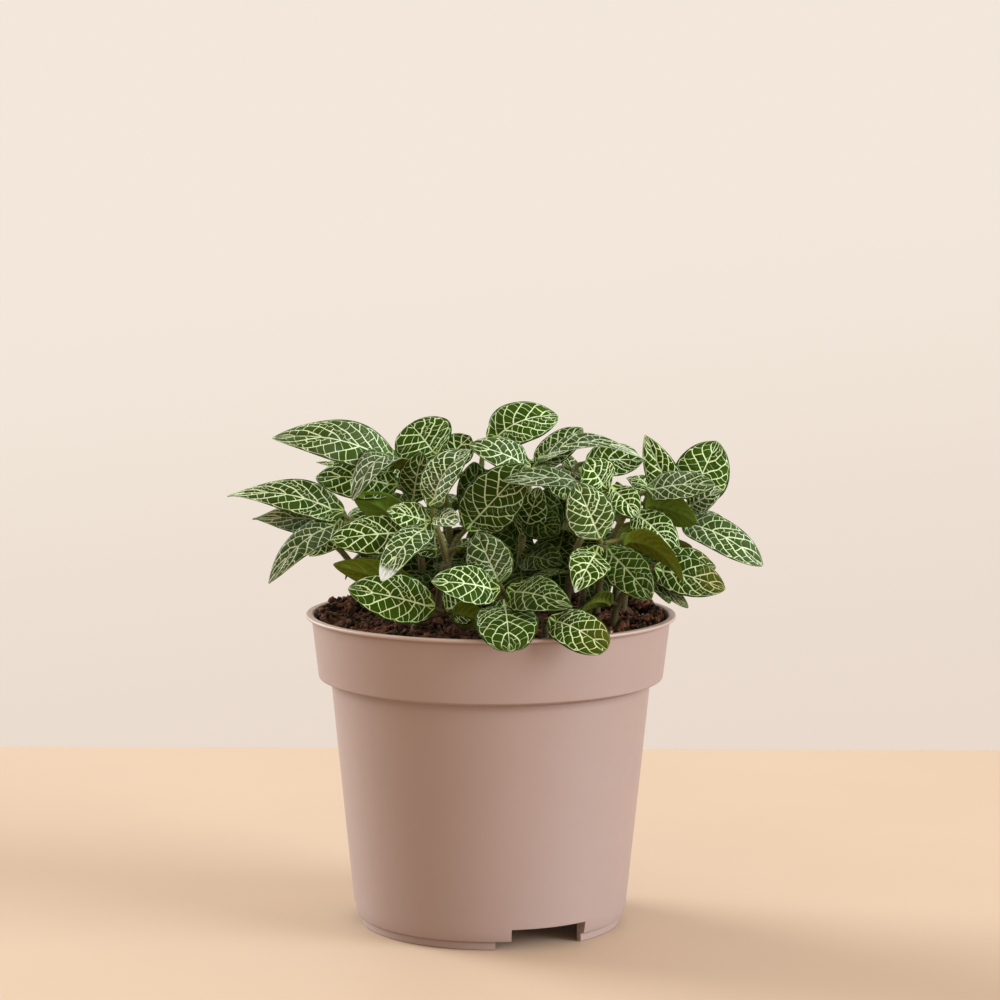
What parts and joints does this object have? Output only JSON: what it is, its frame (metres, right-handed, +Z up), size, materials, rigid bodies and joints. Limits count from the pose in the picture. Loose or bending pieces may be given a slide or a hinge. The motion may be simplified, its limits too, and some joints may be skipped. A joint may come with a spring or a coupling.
{
  "type": "potted nerve plant",
  "caption": "Potted nerve plant: leafy white-veined shoots in peat, in a tapered plastic nursery pot with a banded rim and foot notches.",
  "frame": {"origin": "on the pot's axis, on the surface that the pot stands on", "axes": "+Z up, -Y towards the front of the plant, +X to the right seen from the front"},
  "size_m": [0.1736, 0.14, 0.1682],
  "materials": {
    "pot_plastic": "taupe injection-moulded plastic, matte with a faint sheen and fine moulding specks",
    "peat": "dark brown moist peat with coarse crumbs, coir fibres and small stones",
    "leaf": "soft living leaf, deep green with a cream-white net of veins, semi-matte"
  },
  "bodies": {
    "root": {"pot": "pot_plastic", "soil": "peat", "shoot_01": "leaf", "shoot_02": "leaf", "shoot_03": "leaf", "shoot_04": "leaf", "shoot_05": "leaf", "shoot_06": "leaf", "shoot_07": "leaf", "shoot_08": "leaf", "shoot_09": "leaf", "shoot_10": "leaf", "shoot_11": "leaf", "shoot_12": "leaf", "shoot_13": "leaf", "shoot_14": "leaf", "shoot_15": "leaf", "shoot_16": "leaf", "shoot_17": "leaf", "shoot_18": "leaf", "shoot_19": "leaf", "shoot_20": "leaf", "shoot_21": "leaf", "shoot_22": "leaf", "shoot_23": "leaf", "shoot_24": "leaf", "shoot_25": "leaf"}
  },
  "joints": []
}
